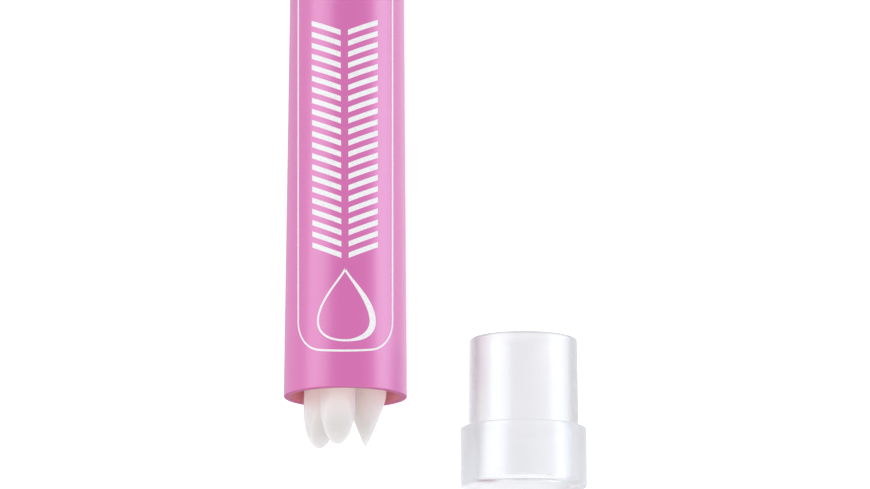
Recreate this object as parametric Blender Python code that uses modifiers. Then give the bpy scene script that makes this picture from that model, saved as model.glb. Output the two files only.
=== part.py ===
"""Nail polish corrector pen, lying on its side with its end plug pulled off and laid beside it.

The barrel is one moulding with two chambers. The front one holds the fibre reservoir, which feeds the
felt nib through the nib holder. The rear one keeps three spare tips under a clear plug. Lengths are in
metres. The pen lies along +Y with its cap in front, and z = 0 is the surface that it lies on.
"""

import math

import bmesh
import bpy
from mathutils import Euler, Matrix, Vector

MM = 0.001

# Clearances
REST_GAP = 0.30 * MM  # between pieces that rest on or butt against each other
SLIP_GAP = 0.15 * MM  # around a spigot or a nib in its bore
SNAP_GAP = 0.06 * MM  # between the cap's snap ring and the neck's bead
CUT_OVERRUN = 0.50 * MM  # how far cutters and joined ribs run past a face

# Outside of the closed pen: one straight cone from the rear rim to the end of the cap
REAR_RADIUS = 7.00 * MM
CONE_SLOPE = 0.0086  # radius lost per unit of length

# Barrel
BARREL_LENGTH = 96.0 * MM
RIM_EDGE = 0.16 * MM  # rounding of the rear rim, outside
RIM_INNER_EDGE = 0.10 * MM
CHAMBER_MOUTH_RADIUS = 6.28 * MM
CHAMBER_SLOPE = 0.005  # mould draft
CHAMBER_DEPTH = 16.2 * MM
CHAMBER_FLOOR_FILLET = 0.5 * MM
BULKHEAD_THICKNESS = 1.4 * MM
RESERVOIR_BORE_RADIUS = 4.95 * MM  # at the bulkhead
RESERVOIR_BORE_SLOPE = 0.003
SPIGOT_BORE_RADIUS = 5.30 * MM
SPIGOT_BORE_LEAD = 0.25 * MM  # chamfer that leads the spigot in
SNAP_GROOVE_DEPTH = 0.22 * MM
SNAP_GROOVE_WIDTH = 1.5 * MM
SNAP_GROOVE_PLACE = 4.2 * MM  # back from the barrel's front face
RIB_COUNT = 6
RIB_WIDTH = 0.80 * MM

# Fibre reservoir and its wrap
CORE_RADIUS = 3.70 * MM
FILM_GAP = 0.10 * MM
FILM_THICKNESS = 0.15 * MM
NIB_BITE = 2.5 * MM  # how far the nib's tail is pushed into the fibre
CORE_EDGE = 0.30 * MM

# Felt tips: the nib and the spares
TIP_RADIUS = 1.97 * MM
TIP_LENGTH = 21.0 * MM
TIP_NOSE_LENGTH = 4.70 * MM  # half-ellipse that rounds the end, seen on the flat
TIP_LONG_FLAT_ANGLE = math.radians(21.9)  # ground flats, from the axis
TIP_SHORT_FLAT_ANGLE = math.radians(23.4)
TIP_BLUNT = 0.09 * MM  # half the thickness left at the edge
TIP_EDGE_ASIDE = 0.35 * MM  # from the axis to the edge, towards the short flat
TIP_TAIL_CHAMFER = 0.20 * MM

# Nib holder
SPIGOT_LENGTH = 8.7 * MM
SPIGOT_LEAD = 0.4 * MM
SPIGOT_BEAD = 0.20 * MM
SPIGOT_BEAD_WIDTH = 0.9 * MM
HOLDER_BORE_CLEARANCE = 0.25 * MM  # round the wrapped reservoir
FLANGE_THICKNESS = 1.2 * MM
FLANGE_EDGE = 0.15 * MM
NECK_RADIUS = 4.90 * MM
NECK_LENGTH = 6.0 * MM
NECK_BEAD = 0.12 * MM
NECK_BEAD_WIDTH = 1.2 * MM
NECK_BEAD_PLACE = 2.9 * MM  # forward of the flange
LAND_RADIUS = 4.10 * MM
LAND_LENGTH = 3.0 * MM
NOSE_LENGTH = 6.0 * MM
NOSE_RADIUS = 3.00 * MM
NOSE_EDGE = 0.45 * MM
NIB_REACH = 6.5 * MM  # nib that shows in front of the nose
VENT_COUNT = 4
VENT_RADIUS = 0.40 * MM
GROOVE_COUNT = 3
GROOVE_WIDTH = 1.2 * MM
GROOVE_DEPTH = 0.30 * MM

# Cap
CAP_LENGTH = 34.5 * MM
CAP_WALL = 0.95 * MM
CAP_END_WALL = 1.4 * MM
CAP_END_EDGE = 0.5 * MM
CAP_MOUTH_EDGE = 0.15 * MM
CAP_RING_PLACE = 1.2 * MM  # snap ring, forward of the mouth
CAP_RING_WIDTH = 0.7 * MM
CAP_FIN_COUNT = 4
CAP_FIN_THICKNESS = 0.9 * MM
CAP_FIN_INNER_RADIUS = 1.0 * MM
SEAL_WALL = 0.60 * MM
SEAL_END_WALL = 0.8 * MM
SEAL_LAP = 2.5 * MM  # how much of the sealing land the seal covers
SEAL_NIB_ROOM = 2.0 * MM  # in front of the nib
SEAL_EDGE = 0.25 * MM

# End plug
COLLAR_RADIUS = 7.15 * MM
COLLAR_LENGTH = 6.8 * MM
COLLAR_EDGE = 0.45 * MM
COLLAR_SHOULDER_EDGE = 0.12 * MM
INSERT_LENGTH = 10.2 * MM
INSERT_FIT = 0.03 * MM  # play of the insert's root in the chamber's mouth
INSERT_SLOPE = 0.011
INSERT_EDGE = 0.20 * MM
INSERT_WALL = 0.88 * MM
PLUG_CAVITY_SLOPE = 0.006
PLUG_CAVITY_FILLET = 0.6 * MM
PLUG_END_WALL = 0.8 * MM

# Where the pulled-off plug lies
PLUG_ASIDE = 20.2 * MM  # from the pen's axis to the plug's
PLUG_BEHIND = 3.6 * MM  # from the rear rim back to the plug's shoulder

# How the spare tips lie: the outer two on the chamber's wall, the middle one on the first
RIM_SPREAD_SHARE = 1.35  # of the angle between two tips that touch
FLOOR_SPREAD_SHARE = 1.30
RIM_SWING = math.radians(-1.84)  # the pair's turn round the chamber, at the rim and at the bulkhead
FLOOR_SWING = math.radians(4.5)
MIDDLE_ASIDE_SHARE = -0.208  # of the reach of a tip that lies on the wall
TIP_STANDOFFS = (0.66 * MM, 0.71 * MM, 0.33 * MM)  # from each tail to the bulkhead
TIP_ROLLS = (math.radians(145.0), math.radians(180.0), math.radians(90.0))

# Facets
AROUND_OUTER_COUNT = 56
AROUND_INNER_COUNT = 36
AROUND_TIP_COUNT = 32
VENT_SIDE_COUNT = 12
SMOOTH_UNDER = math.radians(35.0)
CORNER_STEP_COUNT = 3
NOSE_STEP_COUNT = 8
MERGE = 1e-6

# Places that follow from the sizes, along the pen from the rear rim
BULKHEAD_FRONT = CHAMBER_DEPTH + BULKHEAD_THICKNESS
FLANGE_REAR = BARREL_LENGTH + REST_GAP
FLANGE_FRONT = FLANGE_REAR + FLANGE_THICKNESS
SPIGOT_REAR = FLANGE_REAR - SPIGOT_LENGTH
RESERVOIR_REAR = BULKHEAD_FRONT + REST_GAP
NECK_FRONT = FLANGE_FRONT + NECK_LENGTH
LAND_FRONT = NECK_FRONT + LAND_LENGTH
NOSE_FRONT = LAND_FRONT + NOSE_LENGTH
NIB_FRONT = NOSE_FRONT + NIB_REACH
NIB_REAR = NIB_FRONT - TIP_LENGTH
RESERVOIR_FRONT = NIB_REAR + NIB_BITE
STOP = RESERVOIR_FRONT + REST_GAP  # seat inside the nib holder for the reservoir's front end
CAP_MOUTH = FLANGE_FRONT + REST_GAP
CAP_FRONT = CAP_MOUTH + CAP_LENGTH
SEAL_MOUTH = LAND_FRONT - SEAL_LAP
SEAL_FRONT = NIB_FRONT + SEAL_NIB_ROOM + SEAL_END_WALL
LIE_ANGLE = math.atan(CONE_SLOPE)  # the cone lies on its side, so its axis dips to the front


def body_radius(place):
    """Outside radius of the closed pen at a place along it."""
    return REAR_RADIUS - CONE_SLOPE * place


def cap_bore_radius(place):
    return body_radius(place) - CAP_WALL


def chamber_radius(depth):
    return CHAMBER_MOUTH_RADIUS - CHAMBER_SLOPE * depth


def start_scene():
    """An empty scene with one collection for the parts and one for the cutters."""
    for old in list(bpy.data.objects):
        bpy.data.objects.remove(old, do_unlink=True)
    parts = bpy.data.collections.new("nail_polish_corrector_pen")
    cutters = bpy.data.collections.new("cutters")
    for collection in (parts, cutters):
        bpy.context.scene.collection.children.link(collection)
    cutters.hide_render = True
    return parts, cutters


PARTS, CUTTERS = start_scene()


def linear(channel):
    return channel / 12.92 if channel <= 0.04045 else ((channel + 0.055) / 1.055) ** 2.4


def make_material(name, colour, roughness, transmission=0.0, ior=1.49):
    """A Principled material from an sRGB hex colour."""
    material = bpy.data.materials.new(name)
    material.use_nodes = True
    shader = material.node_tree.nodes["Principled BSDF"]
    rgb = [linear(int(colour[i : i + 2], 16) / 255) for i in (1, 3, 5)]
    shader.inputs["Base Color"].default_value = (*rgb, 1.0)
    shader.inputs["Roughness"].default_value = roughness
    shader.inputs["Metallic"].default_value = 0.0
    shader.inputs["Transmission Weight"].default_value = transmission
    shader.inputs["IOR"].default_value = ior
    material.diffuse_color = (*rgb, 1.0 - transmission / 2)
    return material


def place_object(obj, collection, parent=None, location=(0, 0, 0), rotation=(0, 0, 0)):
    collection.objects.link(obj)
    obj.parent = parent
    obj.location = location
    obj.rotation_euler = rotation
    return obj


def make_smooth_by_angle():
    """Node group that shades smooth across every edge whose faces meet at a low angle."""
    group = bpy.data.node_groups.new("smooth_by_angle", "GeometryNodeTree")
    group.interface.new_socket("Geometry", in_out="INPUT", socket_type="NodeSocketGeometry")
    group.interface.new_socket("Geometry", in_out="OUTPUT", socket_type="NodeSocketGeometry")
    start = group.nodes.new("NodeGroupInput")
    end = group.nodes.new("NodeGroupOutput")
    edge_angle = group.nodes.new("GeometryNodeInputMeshEdgeAngle")
    low = group.nodes.new("FunctionNodeCompare")
    low.operation = "LESS_THAN"
    low.inputs["B"].default_value = SMOOTH_UNDER
    shade = group.nodes.new("GeometryNodeSetShadeSmooth")
    shade.domain = "EDGE"
    group.links.new(start.outputs["Geometry"], shade.inputs["Geometry"])
    group.links.new(edge_angle.outputs["Unsigned Angle"], low.inputs["A"])
    group.links.new(low.outputs["Result"], shade.inputs["Shade Smooth"])
    group.links.new(shade.outputs["Geometry"], end.inputs["Geometry"])
    return group


SMOOTH_BY_ANGLE = make_smooth_by_angle()


def round_corners(corners):
    """Outline points (radius, place) from corners (radius, place[, fillet]), each fillet as an arc."""
    points = []
    for i, corner in enumerate(corners):
        here = Vector(corner[:2])
        if len(corner) < 3 or i in (0, len(corners) - 1):
            points.append(here)
            continue
        back = (Vector(corners[i - 1][:2]) - here).normalized()
        ahead = (Vector(corners[i + 1][:2]) - here).normalized()
        half = back.angle(ahead) / 2
        centre = here + (back + ahead).normalized() * corner[2] / math.sin(half)
        start = here + back * corner[2] / math.tan(half) - centre
        end = here + ahead * corner[2] / math.tan(half) - centre
        turn = end.angle_signed(start)
        for step in range(CORNER_STEP_COUNT + 1):
            points.append(centre + Matrix.Rotation(turn * step / CORNER_STEP_COUNT, 2) @ start)
    return points


def turn_profile(name, corners, around, closed=False):
    """A turned solid about its own Z. The outline runs down its outer side."""
    points = round_corners(corners)
    mesh = bpy.data.meshes.new(name)
    edges = [(i, i + 1) for i in range(len(points) - 1)]
    if closed:
        edges.append((len(points) - 1, 0))
    mesh.from_pydata([(radius, 0, place) for radius, place in points], edges, [])
    obj = bpy.data.objects.new(name, mesh)
    screw = obj.modifiers.new("turn", "SCREW")
    screw.axis = "Z"
    screw.steps = around
    screw.render_steps = around
    screw.use_merge_vertices = True
    screw.merge_threshold = MERGE
    screw.use_smooth_shade = True
    return obj


def ring_of(name, count, make_one, phase=0.0):
    """One helper mesh holding a shape repeated round Z, for a Boolean."""
    mesh = bpy.data.meshes.new(name)
    shape = bmesh.new()
    for i in range(count):
        make_one(shape, Matrix.Rotation(phase + math.tau * i / count, 4, "Z"))
    shape.to_mesh(mesh)
    shape.free()
    return bpy.data.objects.new(name, mesh)


def add_box(shape, turn, low, high):
    """A box between two corners, turned about Z."""
    middle = (Vector(low) + Vector(high)) / 2
    size = Matrix.Diagonal((*(Vector(high) - Vector(low)), 1))
    bmesh.ops.create_cube(shape, size=1, matrix=turn @ Matrix.Translation(middle) @ size)


def add_rod(shape, turn, radius, aside, low, high):
    """A rod along Z that stands aside from the axis."""
    bmesh.ops.create_cone(
        shape,
        cap_ends=True,
        segments=VENT_SIDE_COUNT,
        radius1=radius,
        radius2=radius,
        depth=high - low,
        matrix=turn @ Matrix.Translation((aside, 0, (low + high) / 2)),
    )


def use_boolean(obj, other, operation):
    """Cuts or joins a hidden helper, which moves with the piece."""
    place_object(other, CUTTERS, obj)
    other.hide_render = True
    other.display_type = "WIRE"
    boolean = obj.modifiers.new(other.name, "BOOLEAN")
    boolean.operation = operation
    boolean.object = other


def finish_piece(obj, material, parent):
    obj.data.materials.append(material)
    obj.modifiers.new("shade", "NODES").node_group = SMOOTH_BY_ANGLE
    return place_object(obj, PARTS, parent)


def make_barrel(parent, material):
    """Tapered tube with a bulkhead between its two chambers and ribs that hold the reservoir."""
    bore_end = SPIGOT_REAR - REST_GAP
    bore_end_radius = RESERVOIR_BORE_RADIUS + RESERVOIR_BORE_SLOPE * (bore_end - BULKHEAD_FRONT)
    front_radius = body_radius(BARREL_LENGTH)
    groove = BARREL_LENGTH - SNAP_GROOVE_PLACE
    groove_radius = SPIGOT_BORE_RADIUS + SNAP_GROOVE_DEPTH
    barrel = turn_profile(
        "barrel",
        [
            (0, BULKHEAD_FRONT),
            (RESERVOIR_BORE_RADIUS, BULKHEAD_FRONT, CHAMBER_FLOOR_FILLET),
            (bore_end_radius, bore_end),
            (SPIGOT_BORE_RADIUS, bore_end),
            (SPIGOT_BORE_RADIUS, groove - SNAP_GROOVE_WIDTH / 2),
            (groove_radius, groove - SNAP_GROOVE_WIDTH / 2 + SNAP_GROOVE_DEPTH),
            (groove_radius, groove + SNAP_GROOVE_WIDTH / 2 - SNAP_GROOVE_DEPTH),
            (SPIGOT_BORE_RADIUS, groove + SNAP_GROOVE_WIDTH / 2),
            (SPIGOT_BORE_RADIUS, BARREL_LENGTH - SPIGOT_BORE_LEAD),
            (SPIGOT_BORE_RADIUS + SPIGOT_BORE_LEAD, BARREL_LENGTH),
            (front_radius, BARREL_LENGTH, RIM_INNER_EDGE),
            (REAR_RADIUS, 0, RIM_EDGE),
            (CHAMBER_MOUTH_RADIUS, 0, RIM_INNER_EDGE),
            (chamber_radius(CHAMBER_DEPTH), CHAMBER_DEPTH, CHAMBER_FLOOR_FILLET),
            (0, CHAMBER_DEPTH),
        ],
        AROUND_OUTER_COUNT,
    )
    rib_inner = CORE_RADIUS + FILM_GAP + FILM_THICKNESS + HOLDER_BORE_CLEARANCE
    rib_outer = RESERVOIR_BORE_RADIUS + CUT_OVERRUN
    low = (rib_inner, -RIB_WIDTH / 2, BULKHEAD_FRONT - CUT_OVERRUN)
    high = (rib_outer, RIB_WIDTH / 2, bore_end - CUT_OVERRUN)
    ribs = ring_of("barrel_ribs", RIB_COUNT, lambda shape, turn: add_box(shape, turn, low, high))
    use_boolean(barrel, ribs, "UNION")
    return finish_piece(barrel, material, parent)


def make_reservoir_core(parent, material):
    """Fibre rod, with the socket that the nib's tail has pressed into its front end."""
    socket_radius = TIP_RADIUS + SLIP_GAP
    socket_floor = NIB_REAR - REST_GAP
    core = turn_profile(
        "reservoir_core",
        [
            (0, socket_floor),
            (socket_radius, socket_floor),
            (socket_radius, RESERVOIR_FRONT),
            (CORE_RADIUS, RESERVOIR_FRONT, CORE_EDGE),
            (CORE_RADIUS, RESERVOIR_REAR, CORE_EDGE),
            (0, RESERVOIR_REAR),
        ],
        AROUND_INNER_COUNT,
    )
    return finish_piece(core, material, parent)


def make_reservoir_film(parent, material):
    inner = CORE_RADIUS + FILM_GAP
    outer = inner + FILM_THICKNESS
    corners = [
        (inner, RESERVOIR_FRONT),
        (outer, RESERVOIR_FRONT),
        (outer, RESERVOIR_REAR),
        (inner, RESERVOIR_REAR),
    ]
    film = turn_profile("reservoir_film", corners, AROUND_INNER_COUNT, closed=True)
    return finish_piece(film, material, parent)


def make_nib_holder(parent, material):
    """Front section: spigot, flange, neck, sealing land and vented nose, bored through for the nib."""
    spigot_radius = SPIGOT_BORE_RADIUS - SLIP_GAP
    bead = BARREL_LENGTH - SNAP_GROOVE_PLACE
    bead_radius = spigot_radius + SPIGOT_BEAD
    neck_bead = FLANGE_FRONT + NECK_BEAD_PLACE
    neck_bead_radius = NECK_RADIUS + NECK_BEAD
    bore_radius = CORE_RADIUS + FILM_GAP + FILM_THICKNESS + HOLDER_BORE_CLEARANCE
    nib_bore_radius = TIP_RADIUS + SLIP_GAP
    holder = turn_profile(
        "nib_holder",
        [
            (nib_bore_radius, STOP),
            (nib_bore_radius, NOSE_FRONT),
            (NOSE_RADIUS, NOSE_FRONT, NOSE_EDGE),
            (LAND_RADIUS, LAND_FRONT),
            (LAND_RADIUS, NECK_FRONT),
            (NECK_RADIUS, NECK_FRONT, NOSE_EDGE),
            (NECK_RADIUS, neck_bead + NECK_BEAD_WIDTH / 2),
            (neck_bead_radius, neck_bead, NECK_BEAD_WIDTH / 2),
            (NECK_RADIUS, neck_bead - NECK_BEAD_WIDTH / 2),
            (NECK_RADIUS, FLANGE_FRONT),
            (body_radius(FLANGE_FRONT), FLANGE_FRONT, FLANGE_EDGE),
            (body_radius(FLANGE_REAR), FLANGE_REAR, FLANGE_EDGE),
            (spigot_radius, FLANGE_REAR),
            (spigot_radius, bead + SPIGOT_BEAD_WIDTH / 2),
            (bead_radius, bead),
            (spigot_radius, bead - SPIGOT_BEAD_WIDTH / 2),
            (spigot_radius, SPIGOT_REAR + SPIGOT_LEAD),
            (spigot_radius - SPIGOT_LEAD / 2, SPIGOT_REAR),
            (bore_radius, SPIGOT_REAR),
            (bore_radius, STOP),
        ],
        AROUND_INNER_COUNT,
        closed=True,
    )
    vent_low = STOP - CUT_OVERRUN
    vent_high = NOSE_FRONT + CUT_OVERRUN
    vents = ring_of(
        "nose_vents",
        VENT_COUNT,
        lambda shape, turn: add_rod(shape, turn, VENT_RADIUS, nib_bore_radius, vent_low, vent_high),
        math.pi / VENT_COUNT,
    )
    use_boolean(holder, vents, "DIFFERENCE")
    groove_low = (spigot_radius - GROOVE_DEPTH, -GROOVE_WIDTH / 2, SPIGOT_REAR - CUT_OVERRUN)
    groove_high = (bead_radius + CUT_OVERRUN, GROOVE_WIDTH / 2, FLANGE_REAR - REST_GAP)
    grooves = ring_of(
        "spigot_air_grooves",
        GROOVE_COUNT,
        lambda shape, turn: add_box(shape, turn, groove_low, groove_high),
    )
    use_boolean(holder, grooves, "DIFFERENCE")
    return finish_piece(holder, material, parent)


def make_cap_shell(parent, material):
    """Cap with a snap ring in its mouth and fins that stop the inner seal."""
    ring = CAP_MOUTH + CAP_RING_PLACE
    ring_radius = NECK_RADIUS + NECK_BEAD + SNAP_GAP
    end = CAP_FRONT - CAP_END_WALL
    cap = turn_profile(
        "cap_shell",
        [
            (0, CAP_FRONT),
            (body_radius(CAP_FRONT), CAP_FRONT, CAP_END_EDGE),
            (body_radius(CAP_MOUTH), CAP_MOUTH, CAP_MOUTH_EDGE),
            (cap_bore_radius(CAP_MOUTH), CAP_MOUTH, CAP_MOUTH_EDGE),
            (cap_bore_radius(ring - CAP_RING_WIDTH), ring - CAP_RING_WIDTH),
            (ring_radius, ring - CAP_RING_WIDTH / 4),
            (ring_radius, ring + CAP_RING_WIDTH / 4),
            (cap_bore_radius(ring + CAP_RING_WIDTH), ring + CAP_RING_WIDTH),
            (cap_bore_radius(end), end, CAP_END_EDGE),
            (0, end),
        ],
        AROUND_OUTER_COUNT,
    )
    low = (CAP_FIN_INNER_RADIUS, -CAP_FIN_THICKNESS / 2, SEAL_FRONT + REST_GAP)
    high = (cap_bore_radius(end) + CAP_WALL / 2, CAP_FIN_THICKNESS / 2, end + CAP_END_WALL / 2)
    fins = ring_of("cap_fins", CAP_FIN_COUNT, lambda shape, turn: add_box(shape, turn, low, high))
    use_boolean(cap, fins, "UNION")
    return finish_piece(cap, material, parent)


def make_cap_inner_seal(parent, material):
    """Cup that follows the cap's bore and closes on the holder's sealing land."""
    end = SEAL_FRONT - SEAL_END_WALL

    def outer(place):
        return cap_bore_radius(place) - REST_GAP

    seal = turn_profile(
        "cap_inner_seal",
        [
            (0, SEAL_FRONT),
            (outer(SEAL_FRONT), SEAL_FRONT, SEAL_EDGE),
            (outer(SEAL_MOUTH), SEAL_MOUTH, SEAL_EDGE),
            (outer(SEAL_MOUTH) - SEAL_WALL, SEAL_MOUTH, SEAL_EDGE),
            (outer(end) - SEAL_WALL, end, SEAL_EDGE),
            (0, end),
        ],
        AROUND_INNER_COUNT,
    )
    return finish_piece(seal, material, parent)


def make_end_plug(parent, material):
    """Clear plug, insert forward: the insert fits the chamber's mouth, and the cavity clears the tips."""
    root_radius = CHAMBER_MOUTH_RADIUS - INSERT_FIT
    end_radius = root_radius - INSERT_SLOPE * INSERT_LENGTH
    cavity_mouth = end_radius - INSERT_WALL
    floor = PLUG_END_WALL - COLLAR_LENGTH
    cavity_floor = cavity_mouth - PLUG_CAVITY_SLOPE * (INSERT_LENGTH - floor)
    plug = turn_profile(
        "end_plug",
        [
            (0, floor),
            (cavity_floor, floor, PLUG_CAVITY_FILLET),
            (cavity_mouth, INSERT_LENGTH, INSERT_EDGE),
            (end_radius, INSERT_LENGTH, INSERT_EDGE),
            (root_radius, 0),
            (COLLAR_RADIUS, 0, COLLAR_SHOULDER_EDGE),
            (COLLAR_RADIUS, -COLLAR_LENGTH, COLLAR_EDGE),
            (0, -COLLAR_LENGTH),
        ],
        AROUND_OUTER_COUNT,
    )
    return finish_piece(plug, material, parent)


def make_tip_mesh():
    """Felt rod with a half-ellipse nose, ground to a chisel on two sides. Its working end is up."""
    shoulder = TIP_LENGTH - TIP_NOSE_LENGTH
    nose = []
    for step in range(NOSE_STEP_COUNT + 1):
        angle = math.pi / 2 * (1 - step / NOSE_STEP_COUNT)
        nose.append((TIP_RADIUS * math.cos(angle), shoulder + TIP_NOSE_LENGTH * math.sin(angle)))
    nose[0] = (0, TIP_LENGTH)
    tail = [(TIP_RADIUS, TIP_TAIL_CHAMFER), (TIP_RADIUS - TIP_TAIL_CHAMFER, 0), (0, 0)]
    blank = turn_profile("tip_blank", nose + tail, AROUND_TIP_COUNT)
    grinds = [
        ground_flat("tip_long_flat", TIP_LONG_FLAT_ANGLE, TIP_BLUNT - TIP_EDGE_ASIDE, 0.0),
        ground_flat("tip_short_flat", TIP_SHORT_FLAT_ANGLE, TIP_BLUNT + TIP_EDGE_ASIDE, math.pi),
    ]
    for grind in grinds:
        use_boolean(blank, grind, "DIFFERENCE")
    place_object(blank, CUTTERS)
    graph = bpy.context.evaluated_depsgraph_get()
    mesh = bpy.data.meshes.new_from_object(blank.evaluated_get(graph))
    mesh.name = "felt_tip"
    for helper in (*grinds, blank):
        bpy.data.objects.remove(helper, do_unlink=True)
    mesh.shade_smooth()
    mesh.set_sharp_from_angle(angle=SMOOTH_UNDER)
    return mesh


def ground_flat(name, angle, reach, side):
    """The felt that grinding one flat takes off: a block whose face leans in to the edge."""
    lean = Matrix.Translation((reach, 0, TIP_LENGTH)) @ Matrix.Rotation(-angle, 4, "Y")
    low = (0, -TIP_LENGTH, -TIP_LENGTH)
    high = (TIP_LENGTH, TIP_LENGTH, TIP_LENGTH)
    return ring_of(name, 1, lambda shape, turn: add_box(shape, turn @ lean, low, high), side)


def make_tip(name, mesh, material, parent, frame):
    """One felt tip, its origin at the middle of its tail."""
    tip = bpy.data.objects.new(name, mesh)
    if not mesh.materials:
        mesh.materials.append(material)
    return place_object(tip, PARTS, parent, frame.to_translation(), frame.to_euler())


def wall_pair(depth, spread_share, swing):
    """Centres of the two tips that lie on the chamber's wall, at a depth in it."""
    reach = chamber_radius(depth) - TIP_RADIUS - REST_GAP
    touching = 2 * math.asin((TIP_RADIUS + REST_GAP / 2) / reach)
    half = touching * spread_share / 2
    angles = (swing - half, swing + half)
    return [Vector((reach * math.sin(angle), reach * math.cos(angle), depth)) for angle in angles]


def middle_tip(first, depth):
    """Centre of the tip that lies on the first one."""
    aside = MIDDLE_ASIDE_SHARE * (chamber_radius(depth) - TIP_RADIUS - REST_GAP)
    pitch = 2 * TIP_RADIUS + REST_GAP
    return Vector((aside, first.y - math.sqrt(pitch**2 - (aside - first.x) ** 2), depth))


def spare_tip_frames():
    """Where each spare tip lies in the chamber. The pen's Z runs to the cap and its Y down."""
    first_rim, last_rim = wall_pair(0, RIM_SPREAD_SHARE, RIM_SWING)
    first_floor, last_floor = wall_pair(CHAMBER_DEPTH, FLOOR_SPREAD_SHARE, FLOOR_SWING)
    lines = [
        (first_rim, first_floor),
        (middle_tip(first_rim, 0), middle_tip(first_floor, CHAMBER_DEPTH)),
        (last_rim, last_floor),
    ]
    frames = []
    for (rim, floor), standoff, roll in zip(lines, TIP_STANDOFFS, TIP_ROLLS):
        out = (rim - floor).normalized()
        down = Vector((0, 1, 0))
        thick = (down - out * down.dot(out)).normalized()
        turn = Matrix((thick, out.cross(thick), out)).transposed().to_4x4()
        tail = floor - out * standoff / out.z
        frames.append(Matrix.Translation(tail) @ turn @ Matrix.Rotation(roll, 4, "Z"))
    return frames


def make_axis(name, parent, location, angle):
    """An empty whose Z is an axis of the pen or of a piece that comes off it."""
    axis = bpy.data.objects.new(name, None)
    return place_object(axis, PARTS, parent, location, Euler((angle, 0, 0)))


def main():
    pink = make_material("pink_polypropylene", "#D67EBA", 0.32)
    white = make_material("white_polypropylene", "#F1F0ED", 0.40)
    clear = make_material("clear_polystyrene", "#F6F6FA", 0.06, transmission=0.9, ior=1.59)
    natural = make_material("natural_polyethylene", "#EFEDE6", 0.45)
    felt = make_material("white_felt", "#E6E2DF", 0.90)
    fibre = make_material("bonded_fibre", "#E4DCD4", 0.95)
    film = make_material("wrap_film", "#EEF0F3", 0.12, transmission=0.6)

    # The origin is the middle of the floor under the whole object
    right = PLUG_ASIDE + COLLAR_RADIUS
    front = CAP_FRONT * math.cos(LIE_ANGLE) + body_radius(CAP_FRONT) * math.sin(LIE_ANGLE)
    rear = -PLUG_BEHIND - COLLAR_LENGTH
    centre_x = (right - REAR_RADIUS) / 2
    centre_y = (front + rear) / 2

    lying = -math.pi / 2
    height = REAR_RADIUS * math.cos(LIE_ANGLE)
    pen_axis = make_axis("pen_axis", None, (-centre_x, -centre_y, height), lying - LIE_ANGLE)
    make_barrel(pen_axis, pink)
    make_reservoir_core(pen_axis, fibre)
    make_reservoir_film(pen_axis, film)
    make_nib_holder(pen_axis, white)

    tip_mesh = make_tip_mesh()
    make_tip("nib", tip_mesh, felt, pen_axis, Matrix.Translation((0, 0, NIB_REAR)))
    for number, frame in enumerate(spare_tip_frames(), start=1):
        make_tip(f"spare_tip_{number}", tip_mesh, felt, pen_axis, frame)

    cap_axis = make_axis("cap_axis", pen_axis, (0, 0, 0), 0.0)
    make_cap_shell(cap_axis, pink)
    make_cap_inner_seal(cap_axis, natural)

    plug_place = (PLUG_ASIDE - centre_x, -PLUG_BEHIND - centre_y, COLLAR_RADIUS)
    plug_axis = make_axis("plug_axis", None, plug_place, lying)
    make_end_plug(plug_axis, clear)


main()
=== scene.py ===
import math
from types import SimpleNamespace

import bmesh
import bpy
from mathutils import Matrix, Vector


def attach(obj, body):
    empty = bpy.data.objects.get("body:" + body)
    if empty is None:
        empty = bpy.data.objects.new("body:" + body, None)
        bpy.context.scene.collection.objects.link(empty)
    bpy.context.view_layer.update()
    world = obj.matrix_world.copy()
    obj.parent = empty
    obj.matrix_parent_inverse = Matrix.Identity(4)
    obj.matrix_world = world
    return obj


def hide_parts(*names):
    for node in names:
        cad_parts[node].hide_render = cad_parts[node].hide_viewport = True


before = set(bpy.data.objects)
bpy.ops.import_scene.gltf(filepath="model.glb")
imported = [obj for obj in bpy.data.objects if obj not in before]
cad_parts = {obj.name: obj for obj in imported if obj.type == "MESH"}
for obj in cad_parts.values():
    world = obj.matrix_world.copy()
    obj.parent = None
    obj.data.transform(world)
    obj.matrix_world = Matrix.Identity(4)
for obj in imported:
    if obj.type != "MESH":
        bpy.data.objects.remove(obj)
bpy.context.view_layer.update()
mm = 0.001
print("stage 1: frame loaded with", len(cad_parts), "nodes")


# Small helpers

def linearColour(hexColour):  # sRGB hex to the linear colour that Cycles works in
    channels = [int(hexColour[i:i + 2], 16) / 255 for i in (1, 3, 5)]
    return (*(c / 12.92 if c <= 0.04045 else ((c + 0.055) / 1.055) ** 2.4 for c in channels), 1.0)


def setInputs(tree, node, links):
    # links names the inputs, or lists them in order. An input takes a node (its first output in use),
    # a socket, a list of these to join, or a plain value
    for name, given in links.items() if isinstance(links, dict) else enumerate(links):
        for source in given if isinstance(given, list) else [given]:
            if isinstance(source, bpy.types.Node):
                source = next(output for output in source.outputs if output.enabled)
            if isinstance(source, bpy.types.NodeSocket):
                tree.links.new(source, node.inputs[name])
            else:
                node.inputs[name].default_value = source


def addNode(tree, kind, links=None, **settings):
    node = tree.nodes.new(kind)
    for name, value in settings.items():
        setattr(node, name, value)
    setInputs(tree, node, links or [])
    return node


def startMaterial(name, **settings):
    # A Principled material with plain values on its sockets, and each point's place on its own piece in mm
    material = bpy.data.materials.new(name)
    material.use_nodes = True
    tree = material.node_tree
    shader = tree.nodes["Principled BSDF"]
    setInputs(tree, shader, {socket.replace("_", " "): value for socket, value in settings.items()})
    places = addNode(tree, "ShaderNodeAttribute", attribute_name="ownPlace").outputs["Vector"]
    return material, tree, shader, places


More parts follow.
